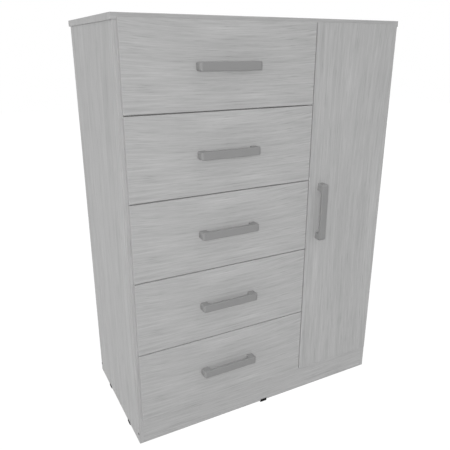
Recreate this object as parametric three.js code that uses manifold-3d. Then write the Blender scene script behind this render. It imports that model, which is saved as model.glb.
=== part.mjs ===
// A chifforobe of foil-covered board: five drawers on the left, a tall cupboard with one door on the right.
// Lengths are millimetres, +Z is up and the front faces -Y.
// The origin is on the floor, under the middle of the overall box.
import * as THREE from "three";
import { mergeVertices } from "three/addons/utils/BufferGeometryUtils.js";
import Module from "manifold-3d";

const wasm = await Module();
wasm.setup();

// Body, without its glides
const bodyWidth = 798;
const bodyDepth = 394;
const bodyHeight = 1100;
const boardThickness = 12;
const backThickness = 3;
const backSideInset = 2;

// Top panel, flush with the side panels at the front
const topThickness = 15;
const topSideOverhang = 3.5;
const topBackOverhang = 5;

// Base
const plinthHeight = 80;
const glideLength = 21;
const glideWidth = 12;
const glideHeight = 5;
const glideEdge = 1;
const glideFrontInset = 99;
const glideBackInset = 105;

// Overlay fronts of the drawers and the door
const frontThickness = 10;
const frontClearance = 0.3;
const frontReveal = 10;
const frontRise = 1;
const frontGap = 3.8;
const drawerFrontWidth = 507.4;
const drawerCount = 5;

// Drawer boxes
const drawerBoardThickness = 12;
const drawerSideGap = 5;
const boxInset = 20;
const boxHeadroom = 28;
const drawerBackSpace = 44;
const bottomThickness = 3;
const bottomGrooveRise = 8;
const bottomGrooveDepth = 5;
const bottomClearance = 0.3;

// Runner strips, which sit in grooves of the drawer sides
const runnerHeight = 16;
const runnerRise = 60;
const runnerClearance = 0.3;
const runnerGrooveDepth = 6.5;
const runnerSideClearance = 0.5;
const runnerFrontInset = 8;
const runnerBackSpace = 36;
const runnerLeadIn = 4;

// Cupboard shelf
const shelfFrontInset = 20;

// Bow handles
const handleLength = 165;
const handleWidth = 20;
const handleReach = 23.5;
const handleGripThickness = 8;
const handleFootLength = 20;
const handleOuterRadius = 7;
const handleInnerRadius = 8;
const handleCornerRadius = 5;
const handleEdge = 1.6;
const drawerHandleShift = 3;
const doorHandleInset = 39.5;
const doorHandleLift = 7.3;

// Hinges of the door
const hingeInset = 100;
const cupRadius = 13;
const cupDepth = 7;
const cupWall = 1;
const cupRim = 4;
const cupClearance = 0.3;
const flangeLength = 40;
const flangeWidth = 16;
const flangeThickness = 1.2;
const armWidth = 13;
const armThickness = 9;
const armLength = 56;
const armBridge = 10;
const armSetback = 2;
const noseThickness = 6;
const noseDepth = 4.2;
const plateLength = 40;
const plateHeight = 50;
const plateThickness = 3;
const plateSetback = 20;

// Steps of the rounded outlines and turned pieces
const arcSteps = 6;
const turnedSteps = 32;
const bevelSteps = 2;

// Cutting tools run past the faces that they cut by this much
const overrun = 2;

const topUnderside = bodyHeight - topThickness;
const innerLeft = boardThickness;
const innerRight = bodyWidth - boardThickness;
const floorLow = plinthHeight;
const floorHigh = floorLow + boardThickness;

const frontsLow = plinthHeight + frontRise;
const frontsHigh = bodyHeight - frontReveal;
const frontPitch = (frontsHigh - frontsLow + frontGap) / drawerCount;
const frontHeight = frontPitch - frontGap;
const drawerFrontRight = frontReveal + drawerFrontWidth;
const doorLeft = drawerFrontRight + frontGap;
const doorRight = bodyWidth - frontReveal;
const doorWidth = doorRight - doorLeft;
const doorHeight = frontsHigh - frontsLow;

const partitionMiddle = (drawerFrontRight + doorLeft) / 2;
const partitionLeft = partitionMiddle - boardThickness / 2;
const partitionRight = partitionLeft + boardThickness;

const boxLeft = innerLeft + drawerSideGap;
const boxRight = partitionLeft - drawerSideGap;
const boxHeight = frontHeight - boxInset - boxHeadroom;
const boxLength = bodyDepth - drawerBackSpace;

const shelfMiddle = (floorHigh + topUnderside) / 2;
const cupMiddle = cupRim + cupRadius;

const foilGrey = { color: 0xafafaf, roughness: 0.55, metalness: 0 };
const paleBoard = { color: 0xc8c8c8, roughness: 0.6, metalness: 0 };
const hardboard = { color: 0xb9b9b9, roughness: 0.8, metalness: 0 };
const darkPlastic = { color: 0x1c1c1c, roughness: 0.5, metalness: 0 };
const palePlastic = { color: 0xe0e0e0, roughness: 0.4, metalness: 0 };
const satinGrey = { color: 0x8f8f8f, roughness: 0.45, metalness: 0.3 };
const steel = { color: 0xb4b4b4, roughness: 0.3, metalness: 1 };

function mesh(name, geometry, finish) {
  const piece = new THREE.Mesh(geometry, new THREE.MeshStandardMaterial(finish));
  piece.name = name;
  return piece;
}

// A straight bar of one section: the outline is in X and Z, and the bar runs from one Y to another.
function barAlongY(outline, front, back) {
  const shape = new THREE.Shape(outline);
  const bar = new THREE.ExtrudeGeometry(shape, { depth: 1, bevelEnabled: false });
  const places = bar.getAttribute("position");
  for (let i = 0; i < places.count; i += 1) {
    const along = places.getZ(i) > 0 ? front : back;
    places.setXYZ(i, places.getX(i), along, places.getY(i));
  }
  return bar;
}

// A flat piece of one outline in X and Y, between two heights.
function barAlongZ(outline, low, high) {
  const shape = new THREE.Shape(outline);
  const bar = new THREE.ExtrudeGeometry(shape, { depth: 1, bevelEnabled: false });
  const places = bar.getAttribute("position");
  for (let i = 0; i < places.count; i += 1) {
    places.setZ(i, places.getZ(i) > 0 ? high : low);
  }
  return bar;
}

function points(pairs) {
  return pairs.map(([across, along]) => new THREE.Vector2(across, along));
}

function rectangle([left, right], [low, high]) {
  return points([
    [left, low],
    [right, low],
    [right, high],
    [left, high],
  ]);
}

// A rectangular board between two faces along each axis.
function board(acrossX, acrossY, acrossZ) {
  return barAlongY(rectangle(acrossX, acrossZ), ...acrossY);
}

// A three.js geometry as a solid that can be cut and joined.
function solid(geometry) {
  const bare = geometry.index ? geometry.toNonIndexed() : geometry.clone();
  bare.deleteAttribute("normal");
  bare.deleteAttribute("uv");
  const merged = mergeVertices(bare);
  const shell = new wasm.Mesh({
    numProp: 3,
    vertProperties: new Float32Array(merged.getAttribute("position").array),
    triVerts: new Uint32Array(merged.index.array),
  });
  return new wasm.Manifold(shell);
}

function geometryOf(body) {
  const shell = body.getMesh();
  const geometry = new THREE.BufferGeometry();
  geometry.setAttribute("position", new THREE.BufferAttribute(shell.vertProperties, shell.numProp));
  geometry.setIndex(new THREE.BufferAttribute(shell.triVerts, 1));
  const loose = geometry.toNonIndexed();
  loose.computeVertexNormals();
  return loose;
}

// A cylinder about Y, between two places along it.
function roundAlongY(radius, front, back, middleX, middleZ) {
  const round = new THREE.CylinderGeometry(radius, radius, back - front, turnedSteps);
  round.translate(middleX, (front + back) / 2, middleZ);
  return round;
}

function buildCarcass() {
  const carcass = new THREE.Group();
  const fullDepth = [0, bodyDepth];
  const underTop = [0, topUnderside];
  const onFloor = [floorHigh, topUnderside];
  const inside = [innerLeft, innerRight];
  carcass.add(mesh("left_side_panel", board([0, innerLeft], fullDepth, underTop), foilGrey));
  carcass.add(mesh("right_side_panel", board([innerRight, bodyWidth], fullDepth, underTop), foilGrey));
  carcass.add(mesh("bottom_panel", board(inside, fullDepth, [floorLow, floorHigh]), foilGrey));
  carcass.add(mesh("centre_partition", board([partitionLeft, partitionRight], fullDepth, onFloor), foilGrey));

  const topSpan = [-topSideOverhang, bodyWidth + topSideOverhang];
  const topReach = [0, bodyDepth + topBackOverhang];
  carcass.add(mesh("top_panel", board(topSpan, topReach, [topUnderside, bodyHeight]), foilGrey));

  const plinthSpan = [0, plinthHeight];
  const frontPlinth = [0, boardThickness];
  const rearPlinth = [bodyDepth - boardThickness, bodyDepth];
  carcass.add(mesh("front_plinth", board(inside, frontPlinth, plinthSpan), foilGrey));
  carcass.add(mesh("rear_plinth", board(inside, rearPlinth, plinthSpan), foilGrey));

  const backSpan = [backSideInset, bodyWidth - backSideInset];
  const backReach = [bodyDepth, bodyDepth + backThickness];
  carcass.add(mesh("back_panel", board(backSpan, backReach, [floorLow, topUnderside]), hardboard));

  const shelfReach = [shelfFrontInset, bodyDepth];
  const shelfSpan = [shelfMiddle - boardThickness / 2, shelfMiddle + boardThickness / 2];
  carcass.add(mesh("cupboard_shelf", board([partitionRight, innerRight], shelfReach, shelfSpan), foilGrey));
  return carcass;
}

// A nail-on glide: an oblong foot with softened edges, its top face at height zero.
function glideGeometry() {
  const flatLength = glideLength - 2 * glideEdge;
  const flatWidth = glideWidth - 2 * glideEdge;
  const endRadius = flatWidth / 2;
  const straight = flatLength / 2 - endRadius;
  const outline = new THREE.Shape();
  outline.absarc(0, straight, endRadius, 0, Math.PI);
  outline.absarc(0, -straight, endRadius, Math.PI, 2 * Math.PI);
  outline.closePath();
  const glide = new THREE.ExtrudeGeometry(outline, {
    depth: glideHeight - 2 * glideEdge,
    bevelThickness: glideEdge,
    bevelSize: glideEdge,
    bevelSegments: bevelSteps,
    curveSegments: arcSteps,
  });
  glide.translate(0, 0, glideEdge - glideHeight);
  return glide;
}

function buildGlides() {
  const glides = new THREE.Group();
  const backY = bodyDepth - glideBackInset;
  const sides = [
    ["left", boardThickness / 2],
    ["right", bodyWidth - boardThickness / 2],
  ];
  for (const [side, x] of sides) {
    const front = mesh(`${side}_front_glide`, glideGeometry(), darkPlastic);
    front.position.set(x, glideFrontInset, 0);
    const rear = mesh(`${side}_rear_glide`, glideGeometry(), darkPlastic);
    rear.position.set(x, backY, 0);
    glides.add(front, rear);
  }
  const middle = mesh("plinth_glide", glideGeometry(), darkPlastic);
  middle.position.set(bodyWidth / 2, boardThickness / 2, 0);
  middle.rotation.z = Math.PI / 2;
  glides.add(middle);
  return glides;
}

// The outline of a handle seen from the front, in X and Z, with its four corners rounded.
function handleFace() {
  const cornerX = handleLength / 2 - handleCornerRadius;
  const cornerZ = handleWidth / 2 - handleCornerRadius;
  const quarter = Math.PI / 2;
  const face = new THREE.Shape();
  face.absarc(cornerX, cornerZ, handleCornerRadius, 0, quarter);
  face.absarc(-cornerX, cornerZ, handleCornerRadius, quarter, 2 * quarter);
  face.absarc(-cornerX, -cornerZ, handleCornerRadius, 2 * quarter, 3 * quarter);
  face.absarc(cornerX, -cornerZ, handleCornerRadius, 3 * quarter, 4 * quarter);
  return face.getPoints(arcSteps);
}

// A bow handle on its feet: X runs along it and Y away from the front that it is screwed to.
function handleGeometry() {
  const half = handleLength / 2;
  const footEnd = half - handleFootLength;
  const gripInner = handleReach - handleGripThickness;
  const outline = new THREE.Shape();
  outline.moveTo(half, 0);
  outline.lineTo(half, handleReach - handleOuterRadius);
  outline.absarc(half - handleOuterRadius, handleReach - handleOuterRadius, handleOuterRadius, 0, Math.PI / 2);
  outline.lineTo(handleOuterRadius - half, handleReach);
  outline.absarc(
    handleOuterRadius - half,
    handleReach - handleOuterRadius,
    handleOuterRadius,
    Math.PI / 2,
    Math.PI,
  );
  outline.lineTo(-half, 0);
  outline.lineTo(-footEnd, 0);
  const cornerY = gripInner - handleInnerRadius;
  outline.lineTo(-footEnd, cornerY);
  outline.absarc(handleInnerRadius - footEnd, cornerY, handleInnerRadius, Math.PI, Math.PI / 2, true);
  outline.lineTo(footEnd - handleInnerRadius, gripInner);
  outline.absarc(footEnd - handleInnerRadius, cornerY, handleInnerRadius, Math.PI / 2, 0, true);
  outline.lineTo(footEnd, 0);
  outline.closePath();
  const bow = new THREE.ExtrudeGeometry(outline, {
    depth: handleWidth - 2 * handleEdge,
    bevelThickness: handleEdge,
    bevelSize: handleEdge,
    bevelOffset: -handleEdge,
    bevelSegments: bevelSteps,
    curveSegments: arcSteps,
  });
  bow.translate(0, 0, handleEdge - handleWidth / 2);
  const face = barAlongY(handleFace(), -overrun, handleReach + overrun);
  return geometryOf(solid(bow).intersect(solid(face)));
}

// A handle on the outer face of a front whose back face is at Y zero.
function buildHandle(name, x, z) {
  const handle = mesh(name, handleGeometry(), satinGrey);
  handle.position.set(x, -frontThickness, z);
  handle.rotation.x = Math.PI;
  return handle;
}

function drawerFrontGeometry() {
  const grooveLow = boxInset + bottomGrooveRise;
  const grooveHigh = grooveLow + bottomThickness + 2 * bottomClearance;
  const span = [frontReveal, drawerFrontRight];
  const front = solid(board(span, [-frontThickness, 0], [0, frontHeight]));
  const grooveSpan = [
    boxLeft + drawerBoardThickness - bottomGrooveDepth,
    boxRight - drawerBoardThickness + bottomGrooveDepth,
  ];
  const groove = solid(board(grooveSpan, [-bottomGrooveDepth, overrun], [grooveLow, grooveHigh]));
  return geometryOf(front.subtract(groove));
}

// A drawer side with a groove outside for the runner and one inside for the bottom.
// The outer face is at X outerX, and towards is +1 or -1, the way from there to the drawer's inside.
function drawerSideGeometry(outerX, towards) {
  const innerX = outerX + towards * drawerBoardThickness;
  const runnerX = outerX + towards * runnerGrooveDepth;
  const bottomX = innerX - towards * bottomGrooveDepth;
  const low = boxInset;
  const high = low + boxHeight;
  const runnerLow = low + runnerRise;
  const runnerHigh = runnerLow + runnerHeight + 2 * runnerClearance;
  const bottomLow = low + bottomGrooveRise;
  const bottomHigh = bottomLow + bottomThickness + 2 * bottomClearance;
  const outline = points([
    [outerX, low],
    [innerX, low],
    [innerX, bottomLow],
    [bottomX, bottomLow],
    [bottomX, bottomHigh],
    [innerX, bottomHigh],
    [innerX, high],
    [outerX, high],
    [outerX, runnerHigh],
    [runnerX, runnerHigh],
    [runnerX, runnerLow],
    [outerX, runnerLow],
  ]);
  return barAlongY(outline, 0, boxLength);
}

// One drawer in its own frame: Y zero is the back face of the front, Z zero the front's lower edge.
function buildDrawer(name) {
  const drawer = new THREE.Group();
  const innerSpan = [boxLeft + drawerBoardThickness, boxRight - drawerBoardThickness];
  const bottomLow = boxInset + bottomGrooveRise + bottomClearance;
  const bottomHigh = bottomLow + bottomThickness;
  const reachIntoGroove = bottomGrooveDepth - bottomClearance;
  const bottomSpan = [innerSpan[0] - reachIntoGroove, innerSpan[1] + reachIntoGroove];
  const bottomReach = [-reachIntoGroove, boxLength];
  const backReach = [boxLength - drawerBoardThickness, boxLength];
  const backSpan = [bottomHigh, boxInset + boxHeight];
  drawer.add(mesh(`${name}_front`, drawerFrontGeometry(), foilGrey));
  drawer.add(mesh(`${name}_left_side`, drawerSideGeometry(boxLeft, 1), paleBoard));
  drawer.add(mesh(`${name}_right_side`, drawerSideGeometry(boxRight, -1), paleBoard));
  drawer.add(mesh(`${name}_back`, board(innerSpan, backReach, backSpan), paleBoard));
  drawer.add(mesh(`${name}_bottom`, board(bottomSpan, bottomReach, [bottomLow, bottomHigh]), hardboard));
  const handleX = (frontReveal + drawerFrontRight) / 2 + drawerHandleShift;
  drawer.add(buildHandle(`${name}_handle`, handleX, frontHeight / 2));
  return drawer;
}

// The two strips that one drawer runs on, at the height of its grooves.
function buildRunners(name) {
  const runners = new THREE.Group();
  const thickness = drawerSideGap + runnerGrooveDepth - runnerSideClearance;
  const low = boxInset + runnerRise + runnerClearance;
  const high = low + runnerHeight;
  const front = runnerFrontInset;
  const back = bodyDepth - runnerBackSpace;
  const sides = [
    ["left", innerLeft, 1],
    ["right", partitionLeft, -1],
  ];
  for (const [side, wall, towards] of sides) {
    const outline = points([
      [wall, front],
      [wall + towards * (thickness - runnerLeadIn), front],
      [wall + towards * thickness, front + runnerLeadIn],
      [wall + towards * thickness, back],
      [wall, back],
    ]);
    runners.add(mesh(`${name}_${side}_runner`, barAlongZ(outline, low, high), palePlastic));
  }
  return runners;
}

// The hinge cup with its flange, on the back face of the door at Y zero.
function cupGeometry(middleX, middleZ) {
  const halfWidth = flangeWidth / 2;
  const halfLength = flangeLength / 2;
  const flange = board(
    [middleX - halfWidth, middleX + halfWidth],
    [0, flangeThickness],
    [middleZ - halfLength, middleZ + halfLength],
  );
  const shell = solid(roundAlongY(cupRadius, -cupDepth, flangeThickness, middleX, middleZ));
  const hollow = solid(
    roundAlongY(cupRadius - cupWall, cupWall - cupDepth, flangeThickness + overrun, middleX, middleZ),
  );
  return geometryOf(shell.add(solid(flange)).subtract(hollow));
}

// The hinge arm and its mounting plate, on the inner face of the right side panel.
function armGeometry(middleZ) {
  const plateBack = plateSetback + plateLength;
  const plate = board(
    [innerRight - plateThickness, innerRight],
    [plateSetback, plateBack],
    [middleZ - plateHeight / 2, middleZ + plateHeight / 2],
  );
  const armRight = innerRight - plateThickness;
  const armLeft = armRight - armThickness;
  const rootRight = armRight + plateThickness / 2;
  const rootFront = plateSetback + plateThickness;
  const noseMiddle = doorRight - cupMiddle;
  const noseLeft = noseMiddle - noseThickness / 2;
  const noseRight = noseMiddle + noseThickness / 2;
  const bridgeBack = armSetback + armBridge;
  const outline = points([
    [rootRight, rootFront],
    [rootRight, armLength],
    [armLeft, armLength],
    [armLeft, bridgeBack],
    [noseLeft, bridgeBack],
    [noseLeft, -noseDepth],
    [noseRight, -noseDepth],
    [noseRight, armSetback],
    [armRight, armSetback],
    [armRight, rootFront],
  ]);
  const arm = barAlongZ(outline, middleZ - armWidth / 2, middleZ + armWidth / 2);
  return geometryOf(solid(plate).add(solid(arm)));
}

function hingeHeights() {
  return [
    ["upper", doorHeight - hingeInset],
    ["lower", hingeInset],
  ];
}

// The door in its own frame: Y zero is its back face, Z zero its lower edge.
function buildDoor() {
  const door = new THREE.Group();
  const cupX = doorRight - cupMiddle;
  let panel = solid(board([doorLeft, doorRight], [-frontThickness, 0], [0, doorHeight]));
  for (const [place, z] of hingeHeights()) {
    const bore = roundAlongY(cupRadius + cupClearance, -cupDepth - cupClearance, overrun, cupX, z);
    panel = panel.subtract(solid(bore));
    door.add(mesh(`${place}_hinge_cup`, cupGeometry(cupX, z), steel));
  }
  door.add(mesh("door_panel", geometryOf(panel), foilGrey));
  const handle = buildHandle("door_handle", doorLeft + doorHandleInset, doorHeight / 2 + doorHandleLift);
  handle.rotation.y = Math.PI / 2;
  door.add(handle);
  return door;
}

function buildHingeArms() {
  const arms = new THREE.Group();
  for (const [place, z] of hingeHeights()) {
    arms.add(mesh(`${place}_hinge_arm`, armGeometry(frontsLow + z), steel));
  }
  return arms;
}

const body = new THREE.Group();
body.add(buildCarcass());
body.add(buildGlides());
body.add(buildHingeArms());

const door = buildDoor();
door.position.set(0, -frontClearance, frontsLow);
body.add(door);

for (let number = 1; number <= drawerCount; number += 1) {
  const name = `drawer_${number}`;
  const frontLow = frontsLow + (drawerCount - number) * frontPitch;
  const drawer = buildDrawer(name);
  drawer.position.set(0, -frontClearance, frontLow);
  const runners = buildRunners(name);
  runners.position.set(0, 0, frontLow);
  body.add(drawer, runners);
}

// The overall box runs from the handles to the back edge of the top.
const boxFront = -frontClearance - frontThickness - handleReach;
const boxBack = bodyDepth + topBackOverhang;
body.position.set(-bodyWidth / 2, -(boxFront + boxBack) / 2, glideHeight);

const chifforobe = new THREE.Group();
chifforobe.name = "chifforobe";
chifforobe.add(body);

export default chifforobe;
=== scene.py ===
# %% [markdown]
# # A chifforobe, dressed for a photograph
#
# The real object is a chest of foil-covered board. Five drawers stand in a column on the left,
# and one tall door closes the cupboard on the right. Its frame comes from the CAD model, so every
# size and every place is known before this lesson starts.
#
# The lesson takes the frame's plain solids and gives each one the finish of the real piece:
# printed foil with wood grain, soft board edges, satin handles, nickel hinges and black glides.
# The tools come first, then the materials, the pieces themselves, and the studio around them.

# %% Load the frame
import math

import bmesh
import bpy
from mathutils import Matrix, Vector


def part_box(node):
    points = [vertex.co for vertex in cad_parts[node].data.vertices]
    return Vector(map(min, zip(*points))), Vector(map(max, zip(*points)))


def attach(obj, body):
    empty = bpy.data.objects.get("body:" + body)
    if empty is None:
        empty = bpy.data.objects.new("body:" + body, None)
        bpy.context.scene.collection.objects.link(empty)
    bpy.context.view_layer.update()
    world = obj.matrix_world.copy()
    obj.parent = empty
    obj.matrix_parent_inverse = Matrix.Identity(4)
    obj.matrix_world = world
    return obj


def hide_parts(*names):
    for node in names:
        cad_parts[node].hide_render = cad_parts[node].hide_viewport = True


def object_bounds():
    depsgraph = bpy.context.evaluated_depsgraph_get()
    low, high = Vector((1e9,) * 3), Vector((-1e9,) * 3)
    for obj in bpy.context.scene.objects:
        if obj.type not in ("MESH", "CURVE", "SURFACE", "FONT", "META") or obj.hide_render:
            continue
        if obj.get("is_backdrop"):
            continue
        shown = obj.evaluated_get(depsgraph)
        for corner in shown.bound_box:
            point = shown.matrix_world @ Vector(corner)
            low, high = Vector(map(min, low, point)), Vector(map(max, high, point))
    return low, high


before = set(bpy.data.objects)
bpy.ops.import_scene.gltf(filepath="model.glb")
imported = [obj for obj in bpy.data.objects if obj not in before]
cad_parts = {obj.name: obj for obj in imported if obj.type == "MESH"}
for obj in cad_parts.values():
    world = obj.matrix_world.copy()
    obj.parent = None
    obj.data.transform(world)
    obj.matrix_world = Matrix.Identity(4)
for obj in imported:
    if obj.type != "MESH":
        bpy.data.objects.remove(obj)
cad_low, cad_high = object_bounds()
bpy.ops.object.select_all(action="DESELECT")

mm = 0.001
quarter = math.pi / 2
rightwards = Vector((1, 0, 0))
backwards = Vector((0, 1, 0))
upwards = Vector((0, 0, 1))
drawers = [f"drawer_{number}" for number in range(1, 6)]
print("frame of", len(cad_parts), "nodes, size", [round(x, 4) for x in cad_high - cad_low])

# %% [markdown]
# ## The modelling tools
#
# A board, a screw head and a handle all start the same way: a primitive is added, scaled to its
# real size and frozen there, so that its object stays at the origin. Blender's operators work on
# whatever is active and selected. The helpers below therefore first select one piece, and then
# pick its faces or edges by where they are and where they look, as a hand with a mouse would.
#
# An edge of zero radius never catches the light, and a render with such edges looks like paper.
# So each piece gets a bevel of its real edge radius, then shading that is smooth over the bevel,
# and normals weighted by face size, which keep the large faces flat.

# %% Tests for faces and edges
hair = 0.02 * mm
# The cosines above which a direction counts as along an axis, and below which as square to it
aligned = 0.9
crossing = 0.1


def near(a, b):
    return abs(a - b) < hair


def looks(x=0, y=0, z=0):
    """A test for faces that look that way."""
    way = Vector((x, y, z))
    return lambda middle, normal: normal.dot(way) > aligned


def runs(x=0, y=0, z=0):
    """A test for edges that run along that axis."""
    axis = Vector((x, y, z))
    return lambda middle, line: abs(line.dot(axis)) > aligned


def everywhere(middle, way):
    """The test that every face and every edge passes."""
    return True


print("aligned is within", round(math.degrees(math.acos(aligned))), "degrees")


# %% Select and edit
def take(piece):
    """The piece becomes the active object and the only one selected."""
    bpy.ops.object.select_all(action="DESELECT")
    piece.select_set(True)
    bpy.context.view_layer.objects.active = piece


def edit(piece, kind, test):
    """Opens edit mode with those faces or edges selected that pass the test."""
    take(piece)
    bpy.ops.object.mode_set(mode="EDIT")
    bpy.ops.mesh.select_mode(type=kind)
    bpy.ops.mesh.select_all(action="DESELECT")
    cage = bmesh.from_edit_mesh(piece.data)
    if kind == "FACE":
        found = [f for f in cage.faces if test(f.calc_center_median(), f.normal)]
    else:
        ends = [(e, e.verts[0].co, e.verts[1].co) for e in cage.edges]
        found = [e for e, a, b in ends if test((a + b) / 2, (b - a).normalized())]
    for element in found:
        element.select_set(True)
    bmesh.update_edit_mesh(piece.data)


def leave():
    bpy.ops.object.mode_set(mode="OBJECT")


def freeze(piece, name):
    """The piece keeps its place in its mesh, and its object goes to the origin."""
    take(piece)
    bpy.ops.object.transform_apply(location=True, rotation=True, scale=True)
    piece.name = name
    piece.data.name = name
    return piece


def modify(piece, kind, **settings):
    """Gives the piece a modifier with those settings, and applies it."""
    modifier = piece.modifiers.new(kind.lower(), kind)
    for key, value in settings.items():
        setattr(modifier, key, value)
    take(piece)
    bpy.ops.object.modifier_apply(modifier=modifier.name)


print("near means within", round(hair / mm, 3), "mm")

# %% Start from a primitive
along_y = (quarter, 0, 0)


def block(name, low, high):
    """A box between two corners."""
    low, high = Vector(low), Vector(high)
    bpy.ops.mesh.primitive_cube_add(size=1, location=(low + high) / 2)
    piece = bpy.context.object
    piece.scale = high - low
    return freeze(piece, name)


def drum(name, middle, radius, depth, sides, turn=(0, 0, 0)):
    """A cylinder, which stands upright unless it is turned."""
    bpy.ops.mesh.primitive_cylinder_add(
        vertices=sides, radius=radius, depth=depth, location=middle, rotation=turn
    )
    return freeze(bpy.context.object, name)


def middle_of(node_name):
    low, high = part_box(node_name)
    return (low + high) / 2


print("the top panel's middle is at", [round(x, 3) for x in middle_of("top_panel")])

# %% Cut and soften
smooth_angle = math.radians(40)
sharp_angle = math.radians(30)


def cut(piece, cutter, operation="DIFFERENCE"):
    """Takes the cutter's shape out of the piece, or leaves only what the two share."""
    modify(piece, "BOOLEAN", operation=operation, solver="EXACT", object=cutter)
    bpy.data.objects.remove(cutter)


def shade(piece):
    take(piece)
    bpy.ops.object.shade_smooth_by_angle(angle=smooth_angle)
    modify(piece, "WEIGHTED_NORMAL", keep_sharp=True)


def soften(piece, radius, segments=3):
    """Rounds every edge that is sharp."""
    modify(
        piece,
        "BEVEL",
        width=radius,
        segments=segments,
        limit_method="ANGLE",
        angle_limit=sharp_angle,
    )
    shade(piece)


def round_off(piece, radius, segments, test):
    """Rounds the edges that pass the test. A single segment cuts them flat."""
    edit(piece, "EDGE", test)
    bpy.ops.mesh.bevel(offset=radius, segments=segments, affect="EDGES")
    leave()


def push(x=0, y=0):
    """Extrudes the selected faces that way."""
    bpy.ops.mesh.extrude_region_move(TRANSFORM_OT_translate={"value": (x, y, 0)})


print("edges over", round(math.degrees(sharp_angle)), "degrees get a bevel")


# %% Join, fit and paint
def merge(name, pieces):
    """Several meshes become one piece, each with its own material."""
    bpy.ops.object.select_all(action="DESELECT")
    for piece in pieces:
        piece.select_set(True)
    bpy.context.view_layer.objects.active = pieces[0]
    bpy.ops.object.join()
    return freeze(bpy.context.object, name)


def fit(piece, body, material, replaces=()):
    """Gives the piece its first material and its body, and hides the nodes that it stands for."""
    if material and not piece.data.materials:
        piece.data.materials.append(material)
    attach(piece, body)
    if replaces:
        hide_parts(*replaces)
    return piece


def paint(piece, material, test):
    """Gives a further material to those faces that pass the test."""
    piece.data.materials.append(material)
    index = len(piece.data.materials) - 1
    for face in piece.data.polygons:
        if test(face.center, face.normal):
            face.material_index = index


# %% Copy a model to many places
facing_turns = {
    "-X": (0, -quarter, 0),
    "+X": (0, quarter, 0),
    "+Y": (-quarter, 0, 0),
}


def copy_of(model, name, place, turn=(0, 0, 0)):
    take(model)
    bpy.ops.object.duplicate()
    piece = bpy.context.object
    piece.location = place
    piece.rotation_euler = turn
    return freeze(piece, name)


def spread(model, name, places, facing):
    """Copies of one small model at several places, all looking one way, as one piece."""
    turn = facing_turns[facing]
    return merge(name, [copy_of(model, name, place, turn) for place in places])


def spread_on_walls(model, name, body, west_x, east_x, spots):
    """Copies of a model at the same spots of two walls that face each other, as one piece."""
    west = spread(model, "west", [(west_x, y, z) for y, z in spots], "+X")
    east = spread(model, "east", [(east_x, y, z) for y, z in spots], "-X")
    return fit(merge(name, [west, east]), body, None)


print("models can look", " ".join(facing_turns))

# %% [markdown]
# ## The printed foil
#
# The boards wear a thin paper foil printed with a grey wood grain. The print is low in contrast:
# long, slightly arched streaks, a few darker dashes where the growth rings come close, some
# pale flames between them, and fine fibres over all.
#
# A photo of wood would be the quick way, but it would be fixed in scale and it isn't ours to
# use. Here the print is drawn with nodes instead. Its coordinates are shares of the board, zero
# to one along the grain and zero to one across, because the maker stretches one print over
# every board, which is why all five drawers carry the same streaks. The fibres, dashes and pores
# are drawn in metres, so that they stay fine on every board.
#
# Several boards share this effect, so it is a node group, built once and placed in each material.

# %% Node tools
noise_middle = 0.5
# The sockets of a colour mix: its factor, its first and its second colour
mix_sockets = (0, 6, 7)
mix_result = 2


def node(tree, kind, inputs=(), **settings):
    """Adds a node, sets its properties, and fills its inputs with values or links."""
    made = tree.nodes.new(kind)
    for key, value in settings.items():
        setattr(made, key, value)
    for key, value in dict(inputs).items():
        if isinstance(value, bpy.types.NodeSocket):
            tree.links.new(value, made.inputs[key])
        else:
            made.inputs[key].default_value = value
    return made


def maths(tree, operation, *values, clamp=False):
    """One math node, and its result."""
    made = node(tree, "ShaderNodeMath", dict(enumerate(values)), operation=operation)
    made.use_clamp = clamp
    return made.outputs[0]


def vector_maths(tree, operation, first, second):
    """One vector math node, and its result. To scale, the second is a number."""
    key = "Scale" if operation == "SCALE" else 1
    made = node(tree, "ShaderNodeVectorMath", {0: first, key: second}, operation=operation)
    return made.outputs[0]


def noise(tree, vector, scales, detail=3.0, roughness=0.5):
    """Noise from minus a half to a half, with its own scale along each axis."""
    place = vector_maths(tree, "MULTIPLY", vector, scales)
    inputs = {"Vector": place, "Scale": 1.0, "Detail": detail, "Roughness": roughness}
    cloud = node(tree, "ShaderNodeTexNoise", inputs)
    return maths(tree, "SUBTRACT", cloud.outputs[0], noise_middle)


def evenly(scale):
    """The same scale along every axis."""
    return (scale, scale, scale)


def mixed(tree, share, first, second):
    inputs = dict(zip(mix_sockets, (share, first, second)))
    return node(tree, "ShaderNodeMix", inputs, data_type="RGBA").outputs[mix_result]


# %% Node groups for surfaces
surface_outputs = {"Color": "Color", "Roughness": "Float", "Height": "Float"}


def group_tree(name, inputs):
    """A new node group with those inputs, which will give a surface, and its input node."""
    tree = bpy.data.node_groups.new(name, "ShaderNodeTree")
    for label, kind in inputs.items():
        tree.interface.new_socket(label, in_out="INPUT", socket_type="NodeSocket" + kind)
    for label, kind in surface_outputs.items():
        tree.interface.new_socket(label, in_out="OUTPUT", socket_type="NodeSocket" + kind)
    return tree, node(tree, "NodeGroupInput")


def give(tree, color, rough, height):
    """Links a group's colour, roughness and height to its outputs."""
    node(tree, "NodeGroupOutput", dict(zip(surface_outputs, (color, rough, height))))


def bump(tree, shader, height, distance):
    raised = node(tree, "ShaderNodeBump", {"Height": height, "Distance": distance, "Strength": 1.0})
    tree.links.new(raised.outputs[0], shader.inputs["Normal"])


def wear(tree, shader, group, relief):
    """The shader takes its colour and roughness from the group, and its relief."""
    tree.links.new(group.outputs["Color"], shader.inputs["Base Color"])
    tree.links.new(group.outputs["Roughness"], shader.inputs["Roughness"])
    bump(tree, shader, group.outputs["Height"], relief)


print("a surface group gives", ", ".join(surface_outputs))

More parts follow.
